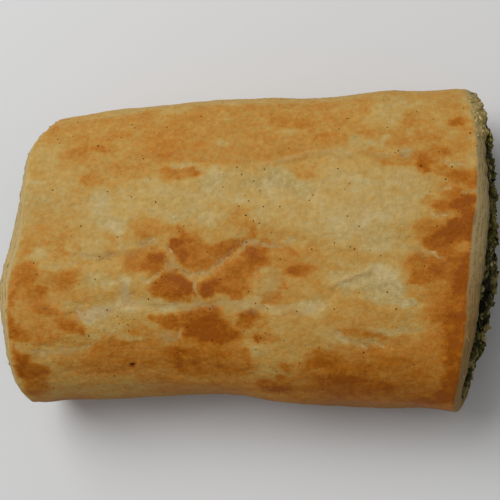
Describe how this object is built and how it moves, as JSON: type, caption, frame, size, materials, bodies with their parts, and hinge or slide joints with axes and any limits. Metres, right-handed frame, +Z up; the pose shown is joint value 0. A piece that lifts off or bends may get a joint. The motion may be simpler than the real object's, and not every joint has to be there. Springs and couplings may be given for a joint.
{
  "type": "filled pastry roll",
  "caption": "Baked puff pastry roll, a broad flat-based loaf open at its two cut ends, with a spinach and cheese filling standing a little proud of the pastry.",
  "frame": {"origin": "on the flat base, under the middle of the roll's bounding box", "axes": "+X along the roll towards the cut end seen in the picture, +Y across the roll towards its back, +Z up"},
  "size_m": [0.1124, 0.0736, 0.0346],
  "materials": {
    "baked_pastry": null,
    "spinach_cheese_filling": null
  },
  "bodies": {
    "root": {"pastry": "baked_pastry", "filling": "spinach_cheese_filling"}
  },
  "joints": []
}
